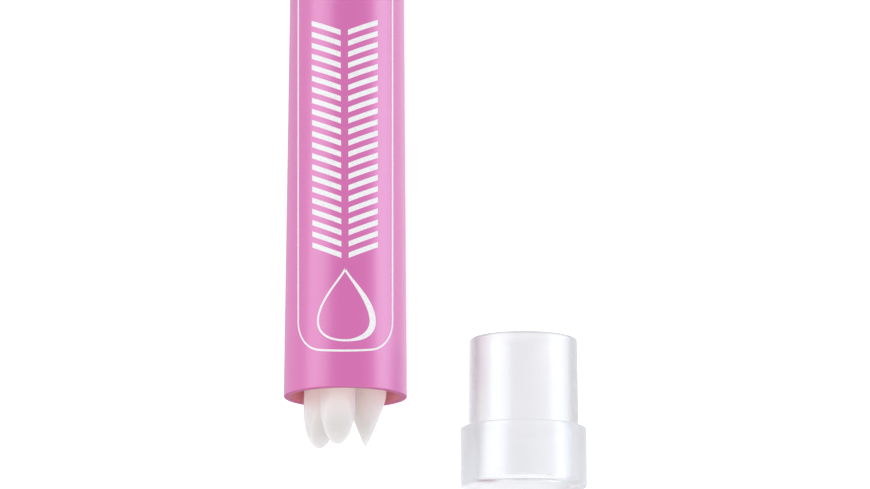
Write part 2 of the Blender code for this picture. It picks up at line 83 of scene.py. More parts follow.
def startTree(name, inputs):
    # A geometry tree with named inputs, each of the kind that its value has
    kinds = {int: "NodeSocketInt", float: "NodeSocketFloat", tuple: "NodeSocketVector"}
    tree = bpy.data.node_groups.new(name, "GeometryNodeTree")
    tree.interface.new_socket("Geometry", in_out="INPUT", socket_type="NodeSocketGeometry")
    for socket, value in inputs.items():
        made = tree.interface.new_socket(socket, in_out="INPUT", socket_type=kinds[type(value)])
        made.default_value = value
    tree.interface.new_socket("Geometry", in_out="OUTPUT", socket_type="NodeSocketGeometry")
    return tree, tree.nodes.new("NodeGroupInput").outputs


def endTree(tree, geometry, material):
    # Every tree ends in plain faces with their material
    whole = addNode(tree, "GeometryNodeRealizeInstances", {"Geometry": geometry})
    painted = addNode(tree, "GeometryNodeSetMaterial", {"Geometry": whole, "Material": material})
    addNode(tree, "NodeGroupOutput", {"Geometry": painted})
    return tree


def addObject(name, data):
    obj = bpy.data.objects.new(name, data)
    bpy.context.scene.collection.objects.link(obj)
    return obj


def grownMesh(tree, mesh, values=None):
    # The plain mesh that a tree makes from a mesh, with the tree's inputs set by their identifiers
    obj = addObject("growing", mesh)
    modifier = obj.modifiers.new(tree.name, "NODES")
    modifier.node_group = tree
    for item in tree.interface.items_tree:
        if values and item.name in values:
            modifier[item.identifier] = values[item.name]
    graph = bpy.context.evaluated_depsgraph_get()
    grown = bpy.data.meshes.new_from_object(obj.evaluated_get(graph))
    bpy.data.objects.remove(obj, do_unlink=True)
    return grown


def filletedOutline(corners, steps=8):
    # (radius, place[, fillet]) corners to outline points, each fillet as an arc
    points = []
    for i, corner in enumerate(corners):
        here = Vector(corner[:2])
        if len(corner) < 3:
            points.append(here)
            continue
        back = (Vector(corners[i - 1][:2]) - here).normalized()
        ahead = (Vector(corners[(i + 1) % len(corners)][:2]) - here).normalized()
        half = back.angle(ahead) / 2
        centre = here + (back + ahead).normalized() * corner[2] / math.sin(half)
        start = here + back * corner[2] / math.tan(half) - centre
        end = here + ahead * corner[2] / math.tan(half) - centre
        turn = end.angle_signed(start)
        points += [centre + Matrix.Rotation(turn * step / steps, 2) @ start for step in range(steps + 1)]
    return points


def meshOfRings(name, rings, closed=False):
    # Closed skin through rings of points; a ring of one point is a pole
    shape = bmesh.new()
    loops = [[shape.verts.new(point) for point in ring] for ring in rings]
    around = max(len(loop) for loop in loops)
    pairs = list(zip(loops, loops[1:])) + ([(loops[-1], loops[0])] if closed else [])
    for low, high in pairs:
        for i in range(around):
            j = (i + 1) % around
            face = [low[i % len(low)], low[j % len(low)], high[j % len(high)], high[i % len(high)]]
            shape.faces.new(dict.fromkeys(face))
    bmesh.ops.recalc_face_normals(shape, faces=shape.faces)
    mesh = bpy.data.meshes.new(name)
    shape.to_mesh(mesh)
    shape.free()
    return mesh


def turnedMesh(name, corners, around=192, closed=False):
    # A turned solid about its own Z
    angles = [math.tau * i / around for i in range(around)]
    rings = []
    for radius, place in filletedOutline(corners):
        ring = [(radius * math.cos(a), radius * math.sin(a), place) for a in angles]
        rings.append(ring if radius > 0 else [(0, 0, place)])
    return meshOfRings(name, rings, closed)


def setMaterials(mesh, *materials):
    mesh.materials.clear()
    for material in materials:
        mesh.materials.append(material)


def finishPiece(name, mesh, placement, body, node=None, material=None, smoothUnder=32):
    # Notes each point's own place for the patterns, moves the mesh into the frame and hands the piece over
    mesh.name = name
    if material:
        setMaterials(mesh, material)
    own = mesh.attributes.new("ownPlace", "FLOAT_VECTOR", "POINT")
    values = [0.0] * (3 * len(mesh.vertices))
    mesh.vertices.foreach_get("co", values)
    own.data.foreach_set("vector", [v / mm for v in values])
    mesh.transform(placement)
    mesh.shade_smooth()
    mesh.set_sharp_from_angle(angle=math.radians(smoothUnder))
    piece = addObject(name, mesh)
    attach(piece, body)
    if node:
        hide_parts(node)
    return piece


# Where the pen and the plug lie, as in the CAD

pen = dict(
    rearCentre=(-10.175 * mm, -60.9728 * mm, 6.9997 * mm),
    rearRadius=7.00 * mm,
    coneSlope=0.0086,  # radius lost along the closed pen
    barrelLength=96.0 * mm,
    skinMargin=0.03 * mm,  # a face this near the cone is on the outer skin
)
plug = dict(
    shoulderCentre=(10.025 * mm, -64.5728 * mm, 7.15 * mm),
    insertRoot=6.25 * mm,
    insertEnd=6.138 * mm,
    insertLength=10.2 * mm,
    cavityMouth=5.258 * mm,
    cavityFloor=5.161 * mm,
    endWall=0.8 * mm,
    collarRadius=7.15 * mm,
    collarLength=6.8 * mm,
    floorFillet=0.12 * mm,
    lipEdge=0.20 * mm,
    rootFillet=0.10 * mm,
    shoulderEdge=0.12 * mm,
    endEdge=0.45 * mm,
)
lying = -math.pi / 2
dip = math.atan(pen["coneSlope"])
penFrame = Matrix.Translation(pen["rearCentre"]) @ Matrix.Rotation(lying - dip, 4, "X")
plugFrame = Matrix.Translation(plug["shoulderCentre"]) @ Matrix.Rotation(lying, 4, "X")


def bodyRadius(place):
    return pen["rearRadius"] - pen["coneSlope"] * place


# Patterns that several materials share; all sizes are in mm

def addClouds(tree, shader, places, size, detail, tones):
    # A colour that drifts between two close tones
    cloud = addNode(tree, "ShaderNodeTexNoise", {"Vector": places, "Scale": 1 / size, "Detail": detail})
    first, second = (linearColour(tone) for tone in tones)
    drift = addNode(tree, "ShaderNodeMix", {"Factor": cloud, "A": first, "B": second}, data_type="RGBA")
    setInputs(tree, shader, {"Base Color": drift})


def addSkin(tree, shader, places, size, height, detail, roughness=None):
    # A moulded skin: one noise for the relief and, where its limits are given, for the roughness
    grain = addNode(tree, "ShaderNodeTexNoise", {"Vector": places, "Scale": 1 / size, "Detail": detail})
    bump = addNode(tree, "ShaderNodeBump", {"Height": grain, "Distance": height * mm, "Strength": 1.0})
    setInputs(tree, shader, {"Normal": bump})
    if roughness:
        least, most = roughness
        rough = addNode(tree, "ShaderNodeMapRange", {"Value": grain, "To Min": least, "To Max": most})
        setInputs(tree, shader, {"Roughness": rough})
    return bump


def addStrands(tree, shader, places, width, length, height, strength, detail, tones=None):
    # Noise drawn out along the rod for the relief and, where they are given, between two tones
    scale = (1 / width, 1 / width, 1 / length)
    stretched = addNode(tree, "ShaderNodeMapping", {"Vector": places, "Scale": scale})
    strands = addNode(tree, "ShaderNodeTexNoise", {"Vector": stretched, "Scale": 1.0, "Detail": detail})
    bump = addNode(tree, "ShaderNodeBump", {"Height": strands, "Distance": height * mm, "Strength": strength})
    setInputs(tree, shader, {"Normal": bump})
    if tones:
        shade, base = (linearColour(tone) for tone in tones)
        return addNode(tree, "ShaderNodeMix", {"Factor": strands, "A": shade, "B": base}, data_type="RGBA")


def letLightThrough(tree, shader, when, colour):
    # Where when is 1, light goes straight on through the surface and takes on a colour
    through = addNode(tree, "ShaderNodeBsdfTransparent", {"Color": linearColour(colour)})
    both = addNode(tree, "ShaderNodeMixShader", [when, shader, through])
    setInputs(tree, tree.nodes["Material Output"], {"Surface": both})


def letLampsGlowThrough(tree, shader, colour):
    path = addNode(tree, "ShaderNodeLightPath")
    letLightThrough(tree, shader, path.outputs["Is Shadow Ray"], colour)


# Materials

pinks = dict(
    # darker than the lacquer, partly as painted shade on the rim's faces
    rim="#B65E8C",
    bore="#D68A98",
    chamberGlow="#FFE6E0",  # what each face of the chamber's thin wall leaves of the light that comes through
)


def makeLacqueredPink(name, thin=False):
    # Injection-moulded polypropylene under a satin pearl lacquer: soft reflections over an even lilac pink
    finish = dict(
        clouds=dict(size=9.0, detail=2.0, tones=("#D465AC", "#D667AE")),
        peel=dict(size=0.55, height=0.0012, detail=1.0),
    )
    material, tree, shader, places = startMaterial(
        name, Roughness=0.48, IOR=1.49, Coat_Weight=0.8, Coat_Roughness=0.27, Coat_IOR=1.7,
    )
    addClouds(tree, shader, places, **finish["clouds"])
    setInputs(tree, shader, {"Coat Normal": addSkin(tree, shader, places, **finish["peel"])})
    if thin:
        letLampsGlowThrough(tree, shader, pinks["chamberGlow"])
    return material


def makeBarePink(name, base, thin=False):
    # The same moulding where no lacquer reaches, on rims and inside: matte, a dustier pink in the bores. On
    # the rims the darker tone is partly painted shade.
    grain = dict(size=0.12, height=0.004, detail=3.0, roughness=(0.5, 0.68))
    material, tree, shader, places = startMaterial(
        name, Base_Color=linearColour(base), IOR=1.49, Specular_IOR_Level=0.35,
    )
    addSkin(tree, shader, places, **grain)
    if thin:
        letLampsGlowThrough(tree, shader, pinks["chamberGlow"])
    return material


def makeMouldedWhite():
    # Injection-moulded white polypropylene: a soft, waxy shine
    finish = dict(
        clouds=dict(size=4.0, detail=3.0, tones=("#F1F0ED", "#E9E7E2")),
        skin=dict(size=0.3, height=0.002, detail=2.0, roughness=(0.34, 0.46)),
    )
    material, tree, shader, places = startMaterial(
        "whiteMouldedPolypropylene", IOR=1.49,
        Subsurface_Weight=0.15, Subsurface_Scale=0.6 * mm, Subsurface_Radius=(1.0, 0.9, 0.8),
    )
    addClouds(tree, shader, places, **finish["clouds"])
    addSkin(tree, shader, places, **finish["skin"])
    return material


def makeNaturalPolyethylene():
    # Low-density polyethylene without pigment: milky, light glows through the thin cup
    finish = dict(base="#EFEDE6", skin=dict(size=0.5, height=0.003, detail=2.0, roughness=(0.38, 0.52)))
    material, tree, shader, places = startMaterial(
        "naturalPolyethylene", Base_Color=linearColour(finish["base"]), IOR=1.51,
        Subsurface_Weight=0.7, Subsurface_Scale=1.2 * mm, Subsurface_Radius=(1.0, 0.9, 0.8),
    )
    addSkin(tree, shader, places, **finish["skin"])
    return material


def makeClearPolystyrene():
    # Crystal polystyrene from a polished mould: clear, a trace of flow, with painted shade that greys it
    # where a wall is seen edge on
    finish = dict(
        # edge is the grey of the painted shade
        base="#FCFCFD", edge="#CECED4",
        edgeShadeFrom=dict(insert=0.36, collar=0.20),  # of the facing, where 1 is edge on
        edgeShadeTo=dict(insert=0.54, collar=0.32),
        skinRadius=5.7, skinEnd=-6.2,  # where the outer skin starts, in mm
        lipStart=9.98, lipShade=0.7,
        flow=dict(size=1.6, height=0.004, detail=1.0, roughness=(0.2, 0.26)),
        bounces=2.5,  # inside, before light leaves
        passing="#F8F8FA",
    )
    material, tree, shader, places = startMaterial(
        "clearPolystyrene", IOR=1.59, Transmission_Weight=1.0, Specular_IOR_Level=0.08,
    )
    # the painted shade sets in sooner on the collar, whose wall is thicker, and only on the outer skin
    place = addNode(tree, "ShaderNodeSeparateXYZ", {"Vector": places}).outputs["Z"]
    onCollar = addNode(tree, "ShaderNodeMath", [place, 0.0], operation="LESS_THAN")
    start, end = (
        addNode(
            tree, "ShaderNodeMix", {"Factor": onCollar, "A": limit["insert"], "B": limit["collar"]},
            data_type="FLOAT",
        )
        for limit in (finish["edgeShadeFrom"], finish["edgeShadeTo"])
    )
    turned = addNode(tree, "ShaderNodeLayerWeight", {"Blend": 0.5})
    edge = addNode(tree, "ShaderNodeMapRange", {
        "Value": turned.outputs["Facing"], "From Min": start, "From Max": end,
    }, interpolation_type="SMOOTHSTEP")
    flat = addNode(tree, "ShaderNodeVectorMath", [places, (1.0, 1.0, 0.0)], operation="MULTIPLY")
    fromAxis = addNode(tree, "ShaderNodeVectorMath", [flat], operation="LENGTH")
    onSide = addNode(tree, "ShaderNodeMath", [fromAxis, finish["skinRadius"]], operation="GREATER_THAN")
    onEnd = addNode(tree, "ShaderNodeMath", [place, finish["skinEnd"]], operation="LESS_THAN")
    outside = addNode(tree, "ShaderNodeMath", [onSide, onEnd], operation="MAXIMUM")
    skinShade = addNode(tree, "ShaderNodeMath", [edge, outside], operation="MULTIPLY")
    # painted shade along the mouth's rounded lip, which bends light away all round
    onLip = addNode(tree, "ShaderNodeMath", [place, finish["lipStart"]], operation="GREATER_THAN")
    paintedShade = addNode(
        tree, "ShaderNodeMath", [onLip, finish["lipShade"], skinShade], operation="MULTIPLY_ADD",
        use_clamp=True,
    )
    # the base colour takes the painted shade
    colour = addNode(tree, "ShaderNodeMix", {
        "Factor": paintedShade, "A": linearColour(finish["base"]), "B": linearColour(finish["edge"]),
    }, data_type="RGBA")
    setInputs(tree, shader, {"Base Color": colour})
    addSkin(tree, shader, places, **finish["flow"])
    # light that has bounced about inside leaves instead of ending in a black spot
    path = addNode(tree, "ShaderNodeLightPath").outputs
    trapped = addNode(
        tree, "ShaderNodeMath", [path["Glossy Depth"], finish["bounces"]], operation="GREATER_THAN",
    )
    # and the barrel's lacquer mirrors the white room, not the plug, which was photographed apart from it
    unbent = addNode(tree, "ShaderNodeMath", [path["Transmission Depth"], 0.5], operation="LESS_THAN")
    mirrored = addNode(tree, "ShaderNodeMath", [path["Is Glossy Ray"], unbent], operation="MULTIPLY")
    freed = addNode(tree, "ShaderNodeMath", [trapped, mirrored], operation="MAXIMUM")
    when = addNode(tree, "ShaderNodeMath", [path["Is Shadow Ray"], freed], operation="MAXIMUM")
    letLightThrough(tree, shader, when, finish["passing"])
    return material


def makeBondedFelt():
    # Needled polyester felt, resin-bonded and ground: dead matte, with fine streaks along the rod
    finish = dict(
        strands=dict(
            width=0.09, length=1.1, height=0.02, strength=0.7, detail=3.0, tones=("#E2DFDD", "#EFEDEB"),
        ),
        # the painted shade on the nose: its grey, and where it fades in, in mm
        ground="#E9E9EA", groundFrom=16.0, groundTo=19.5,
        glow="#E4DAD6",
    )
    material, tree, shader, places = startMaterial(
        "bondedPolyesterFelt", Roughness=0.9, IOR=1.46, Sheen_Weight=0.25, Sheen_Roughness=0.5,
        Subsurface_Weight=0.9, Subsurface_Scale=2.6 * mm, Subsurface_Radius=(1.0, 0.93, 0.90),
    )
    streaks = addStrands(tree, shader, places, **finish["strands"])
    # painted shade: the nose is a little darker than the rod, to even out how the light falls along the tip
    parts = addNode(tree, "ShaderNodeSeparateXYZ", {"Vector": places})
    noseShadeMask = addNode(tree, "ShaderNodeMapRange", {
        "Value": parts.outputs["Z"], "From Min": finish["groundFrom"], "From Max": finish["groundTo"],
    }, interpolation_type="SMOOTHSTEP")
    noseShaded = addNode(
        tree, "ShaderNodeMix", {"Factor": noseShadeMask, "A": streaks, "B": linearColour(finish["ground"])},
        data_type="RGBA", blend_type="MULTIPLY",
    )
    setInputs(tree, shader, {"Base Color": noseShaded})
    letLampsGlowThrough(tree, shader, finish["glow"])
    return material


def makeReservoirFibre():
    # Crimped polyester fibre in a bundle, soaked with remover: matte and a little darker than dry felt
    strands = dict(
        width=0.18, length=3.5, height=0.05, strength=0.8, detail=3.0, tones=("#CFC6BE", "#E4DCD4"),
    )
    material, tree, shader, places = startMaterial("crimpedPolyesterFibre", Roughness=0.85, IOR=1.46)
    setInputs(tree, shader, {"Base Color": addStrands(tree, shader, places, **strands)})
    return material


def makeWrapFilm():
    # Thin polypropylene film round the fibre bundle: clear, with fine lengthwise creases
    finish = dict(base="#EEF0F3", creases=dict(width=0.4, length=9.0, height=0.03, strength=0.6, detail=2.0))
    material, tree, shader, places = startMaterial(
        "polypropyleneFilm", Base_Color=linearColour(finish["base"]), Roughness=0.12, IOR=1.49,
        Transmission_Weight=0.8,
    )
    addStrands(tree, shader, places, **finish["creases"])
    return material


def makePrintedInk():
    # Screen-printed white ink: opaque, a touch less glossy than the lacquer, very slightly uneven
    finish = dict(base="#F2F2F0", thin="#EAE4E8", patchSize=0.25, thinUnder=0.3, fullOver=0.6)
    material, tree, shader, places = startMaterial("screenPrintedInk", Roughness=0.42, IOR=1.48)
    patches = addNode(
        tree, "ShaderNodeTexNoise", {"Vector": places, "Scale": 1 / finish["patchSize"], "Detail": 3.0},
    )
    cover = addNode(tree, "ShaderNodeMapRange", {
        "Value": patches, "From Min": finish["thinUnder"], "From Max": finish["fullOver"],
    })
    colour = addNode(tree, "ShaderNodeMix", {
        "Factor": cover, "A": linearColour(finish["thin"]), "B": linearColour(finish["base"]),
    }, data_type="RGBA")
    setInputs(tree, shader, {"Base Color": colour})
    return material


lacqueredPink = makeLacqueredPink("lacqueredPolypropylene")
lacqueredPinkThin = makeLacqueredPink("lacqueredThinWall", thin=True)
rimPinkAndShade = makeBarePink("bareMouldedRimAndShade", pinks["rim"])
borePink = makeBarePink("bareMouldedBore", pinks["bore"])
borePinkThin = makeBarePink("bareMouldedThinWall", pinks["bore"], thin=True)
mouldedWhite = makeMouldedWhite()
naturalPolyethylene = makeNaturalPolyethylene()
clearPolystyrene = makeClearPolystyrene()
bondedFelt = makeBondedFelt()
reservoirFibre = makeReservoirFibre()
wrapFilm = makeWrapFilm()
printedInk = makePrintedInk()
print("stage 2: materials mixed")


# A shape repeated round the axis, joined to a turned body or cut from it

def makeRingTree(name, operation, rounded, material):
    origin = (0.0, 0.0, 0.0)
    tree, given = startTree(name, {"Count": 4, "Size": origin, "Offset": origin, "Phase": 0.0})
    if rounded:
        size = addNode(tree, "ShaderNodeSeparateXYZ", {"Vector": given["Size"]}).outputs
        block = addNode(
            tree, "GeometryNodeMeshCylinder", {"Vertices": 32, "Radius": size["X"], "Depth": size["Z"]},
        )
    else:
        block = addNode(tree, "GeometryNodeMeshCube", {"Size": given["Size"]})
    placed = addNode(tree, "GeometryNodeTransform", {"Geometry": block, "Translation": given["Offset"]})
    here = addNode(tree, "GeometryNodeMeshLine", {"Count": given["Count"], "Offset": (0, 0, 0)})
    index = addNode(tree, "GeometryNodeInputIndex")
    step = addNode(tree, "ShaderNodeMath", [math.tau, given["Count"]], operation="DIVIDE")
    angle = addNode(tree, "ShaderNodeMath", [index, step, given["Phase"]], operation="MULTIPLY_ADD")
    turned = addNode(tree, "ShaderNodeCombineXYZ", {"Z": angle})
    ring = addNode(
        tree, "GeometryNodeInstanceOnPoints", {"Points": here, "Instance": placed, "Rotation": turned},
    )
    solid = addNode(tree, "GeometryNodeRealizeInstances", {"Geometry": ring})
    body = given["Geometry"]
    meshes = {"Mesh 2": [body, solid]} if operation == "UNION" else {"Mesh 1": body, "Mesh 2": solid}
    boolean = addNode(tree, "GeometryNodeMeshBoolean", operation=operation, solver="EXACT")
    setInputs(tree, boolean, meshes)
    return endTree(tree, boolean, material)


def ringBars(count, inner, outer, width, low, high):
    # The ring tree's inputs for bars between two radii and two places
    return {
        "Count": count,
        "Size": (outer - inner, width, high - low),
        "Offset": ((inner + outer) / 2, 0, (low + high) / 2),
    }


# Barrel

barrel = dict(
    rimEdge=0.16 * mm,
    innerEdge=0.10 * mm,
    chamberMouth=6.28 * mm,
    chamberSlope=0.005,
    chamberDepth=16.2 * mm,
    floorFillet=0.5 * mm,
    bulkhead=1.4 * mm,
    reservoirBore=4.95 * mm,
    boreSlope=0.003,
    boreEnd=87.3 * mm,
    boreMargin=0.02 * mm,  # from either end, where the bare bore starts
    spigotBore=5.30 * mm,
    grooveDepth=0.22 * mm,
    grooveWidth=1.5 * mm,
    groovePlace=91.8 * mm,
    lead=0.25 * mm,
    ribCount=6,
    ribWidth=0.8 * mm,
    ribInner=4.20 * mm,
    ribSunk=0.5 * mm,  # into the bore's wall
    ribFoot=0.3 * mm,  # into the bulkhead
    ribShort=0.5 * mm,  # of the bore's end
)


def makeBarrel():
    b, length = SimpleNamespace(**barrel), pen["barrelLength"]
    front = b.chamberDepth + b.bulkhead
    boreEndRadius = b.reservoirBore + b.boreSlope * (b.boreEnd - front)
    grooveRadius, halfGroove = b.spigotBore + b.grooveDepth, b.grooveWidth / 2
    floorRadius = b.chamberMouth - b.chamberSlope * b.chamberDepth
    body = turnedMesh("barrel", [
        (0, front),
        (b.reservoirBore, front, b.floorFillet),
        (boreEndRadius, b.boreEnd),
        (b.spigotBore, b.boreEnd),
        (b.spigotBore, b.groovePlace - halfGroove),
        (grooveRadius, b.groovePlace - halfGroove + b.grooveDepth),
        (grooveRadius, b.groovePlace + halfGroove - b.grooveDepth),
        (b.spigotBore, b.groovePlace + halfGroove),
        (b.spigotBore, length - b.lead),
        (b.spigotBore + b.lead, length),
        (bodyRadius(length), length, b.innerEdge),
        (bodyRadius(front), front),
        (bodyRadius(0), 0, b.rimEdge),
        (b.chamberMouth, 0, b.innerEdge),
        (floorRadius, b.chamberDepth, b.floorFillet),
        (0, b.chamberDepth),
    ])
    ribs = makeRingTree("ribsInTheBore", "UNION", False, lacqueredPink)
    mesh = grownMesh(ribs, body, ringBars(
        b.ribCount, b.ribInner, b.reservoirBore + b.ribSunk, b.ribWidth,
        front - b.ribFoot, b.boreEnd - b.ribShort,
    ))
    setMaterials(mesh, lacqueredPink, lacqueredPinkThin, rimPinkAndShade, borePink, borePinkThin)
    for face in mesh.polygons:  # lacquer outside, bare rims, bare bores
        radius, place = face.center.xy.length, face.center.z
        thin = place < b.chamberDepth
        outside = radius > bodyRadius(place) - pen["skinMargin"]
        bore = radius < b.chamberMouth and b.boreMargin < place < length - b.boreMargin
        face.material_index = thin if outside else 3 + thin if bore else 2
    return finishPiece("barrelTube", mesh, penFrame, "pen", "barrel")


barrelTube = makeBarrel()
barrelTube.visible_glossy = False  # the photo's plug was lit by itself and mirrors no pen
print("stage 3: barrel turned")


# Print on the barrel: a plain frame line, bars in chevrons and a drop, laid flat and wrapped on the cone

decoration = dict(
    inkHeight=0.02 * mm,
    inkSink=0.015 * mm,
    lineWidth=0.235 * mm,
    frameWidth=12.0 * mm,
    frameRear=4.13 * mm,
    frameFront=88.0 * mm,
    frameCorner=3.0 * mm,
    frameStep=0.3 * mm,  # between points along the line
    frameBow=23.0,  # curve of the frame's ends, per metre
    aside=0.15 * mm,  # of the artwork's centre line at the rear rim
    skew=math.radians(0.43),  # of the artwork to the tube
    widening=1.2,  # of the artwork towards the cap, per metre
    barLength=3.42 * mm,
    barWidth=0.62 * mm,
    barGap=0.40 * mm,  # from the centre line to each bar
    barLean=0.42,
    barPitch=1.30 * mm,
    barGroups=((14.9 * mm, 21), (49.0 * mm, 24)),  # rear end and number of rows
    dropCentre=9.4 * mm,
    dropLength=8.2 * mm,
    dropWidth=7.4 * mm,
    dropThick=3.4,  # the line's heaviest part, in line widths
    dropSpread=1.3,  # of the circle's round end before it is tapered
    dropTaper=0.75,  # power of the taper to the point
)


def sweptStrip(tree, curve, profile, **links):
    # A strip along a curve that lies flat on the sheet
    level = addNode(tree, "GeometryNodeSetCurveNormal", {"Curve": curve}, mode="Z_UP")
    return addNode(tree, "GeometryNodeCurveToMesh", {"Curve": level, "Profile Curve": profile, **links})


def movedPoints(tree, geometry, how, **parts):
    # how is "Position", or "Offset" from where the points are
    to = addNode(tree, "ShaderNodeCombineXYZ", parts)
    return addNode(tree, "GeometryNodeSetPosition", {"Geometry": geometry, how: to})


def makeDecorationTree():
    d = SimpleNamespace(**decoration)
    tree, given = startTree("printWrappedOnTheCone", {
        "Rear Radius": pen["rearRadius"],
        "Cone Slope": pen["coneSlope"],
        "Ink Height": d.inkHeight,
        "Ink Sink": d.inkSink,
        "Line Width": d.lineWidth,
        "Frame Width": d.frameWidth,
        "Frame Length": d.frameFront - d.frameRear,
        "Frame Corner": d.frameCorner,
        "Frame Bow": d.frameBow,
        "Bar Length": d.barLength,
        "Bar Width": d.barWidth,
        "Bar Gap": d.barGap,
        "Bar Lean": d.barLean,
        "Bar Pitch": d.barPitch,
        "Drop Length": d.dropLength,
        "Drop Width": d.dropWidth,
        "Drop Thick": d.dropThick,
        "Aside": d.aside,
        "Skew": d.skew,
        "Widening": d.widening,
    })
    height = addNode(tree, "ShaderNodeMath", [given["Ink Height"], given["Ink Sink"]], operation="ADD")
    linePen, barPen = (
        addNode(tree, "GeometryNodeCurvePrimitiveQuadrilateral", {"Width": given[width], "Height": height})
        for width in ("Line Width", "Bar Width")
    )
    at = addNode(tree, "GeometryNodeInputPosition")
    here = addNode(tree, "ShaderNodeSeparateXYZ", {"Vector": at}).outputs

    # frame line: its sides are straight and its two ends bow outwards
    border = addNode(tree, "GeometryNodeCurvePrimitiveQuadrilateral", {
        "Width": given["Frame Width"], "Height": given["Frame Length"],
    })
    rounded = addNode(
        tree, "GeometryNodeFilletCurve", {"Curve": border, "Count": 14, "Radius": given["Frame Corner"]},
        mode="POLY",
    )
    fine = addNode(
        tree, "GeometryNodeResampleCurve", {"Curve": rounded, "Length": d.frameStep}, mode="LENGTH",
    )
    strip = sweptStrip(tree, fine, linePen)
    halfLength = addNode(tree, "ShaderNodeMath", [given["Frame Length"], 0.5], operation="MULTIPLY")
    squared = addNode(tree, "ShaderNodeMath", [here["X"], here["X"]], operation="MULTIPLY")
    bow = addNode(tree, "ShaderNodeMath", [squared, given["Frame Bow"]], operation="MULTIPLY")
    along = addNode(tree, "ShaderNodeMath", [here["Y"], halfLength], operation="DIVIDE")
    inward = addNode(tree, "ShaderNodeMath", [along, -1.0], operation="MULTIPLY")
    bowBy = addNode(tree, "ShaderNodeMath", [bow, inward], operation="MULTIPLY")
    bowed = movedPoints(tree, strip, "Offset", Y=bowBy)
    middle = addNode(tree, "ShaderNodeMath", [halfLength, d.frameRear], operation="ADD")
    framePlace = addNode(tree, "ShaderNodeCombineXYZ", {"Y": middle})
    frameLine = addNode(tree, "GeometryNodeTransform", {"Geometry": bowed, "Translation": framePlace})

    # one row: a bar on each side of the centre line, sheared so that the two make a chevron
    reach = addNode(tree, "ShaderNodeMath", [given["Bar Gap"], given["Bar Length"]], operation="ADD")
    bars = []
    for side in (-1, 1):
        near = addNode(tree, "ShaderNodeMath", [given["Bar Gap"], side], operation="MULTIPLY")
        far = addNode(tree, "ShaderNodeMath", [reach, side], operation="MULTIPLY")
        start, end = (addNode(tree, "ShaderNodeCombineXYZ", {"X": place}) for place in (near, far))
        bars.append(addNode(tree, "GeometryNodeCurvePrimitiveLine", {"Start": start, "End": end}))
    pair = addNode(tree, "GeometryNodeJoinGeometry", {"Geometry": bars})
    finePair = addNode(tree, "GeometryNodeResampleCurve", {"Curve": pair, "Count": 13}, mode="COUNT")
    barStrips = sweptStrip(tree, finePair, barPen, **{"Fill Caps": True})
    outward = addNode(tree, "ShaderNodeMath", [here["X"]], operation="ABSOLUTE")
    lean = addNode(tree, "ShaderNodeMath", [outward, given["Bar Lean"]], operation="MULTIPLY")
    chevron = movedPoints(tree, barStrips, "Offset", Y=lean)
    pitch = addNode(tree, "ShaderNodeCombineXYZ", {"Y": given["Bar Pitch"]})
    groups = []
    for start, count in d.barGroups:
        rows = addNode(
            tree, "GeometryNodeMeshLine", {"Count": count, "Start Location": (0, start, 0), "Offset": pitch},
        )
        groups.append(addNode(tree, "GeometryNodeInstanceOnPoints", {"Points": rows, "Instance": chevron}))

    # drop outline: a circle drawn in to a point at its front, with a line that swells on one side
    circle = addNode(
        tree, "GeometryNodeCurvePrimitiveCircle", {"Resolution": 120, "Radius": 1.0}, mode="RADIUS",
    )
    halfDrop = addNode(tree, "ShaderNodeMath", [given["Drop Length"], 0.5], operation="MULTIPLY")
    halfWide = addNode(tree, "ShaderNodeMath", [given["Drop Width"], 0.5], operation="MULTIPLY")
    low = addNode(tree, "ShaderNodeMapRange", {
        "Value": here["Y"], "From Min": -1.0, "From Max": 1.0, "To Min": d.dropSpread, "To Max": 0.0,
    })
    taper = addNode(tree, "ShaderNodeMath", [low, d.dropTaper], operation="POWER")
    wide = addNode(tree, "ShaderNodeMath", [here["X"], taper], operation="MULTIPLY")
    dropX = addNode(tree, "ShaderNodeMath", [wide, halfWide], operation="MULTIPLY")
    dropY = addNode(
        tree, "ShaderNodeMath", [here["Y"], halfDrop, d.dropCentre], operation="MULTIPLY_ADD",
    )
    drawnIn = movedPoints(tree, circle, "Position", X=dropX, Y=dropY)
    swell = addNode(tree, "ShaderNodeMapRange", {
        "Value": here["X"], "From Min": 0.0, "From Max": halfWide,
        "To Min": 1.0, "To Max": given["Drop Thick"],
    }, interpolation_type="SMOOTHSTEP")
    drop = sweptStrip(tree, drawnIn, linePen, Scale=swell)

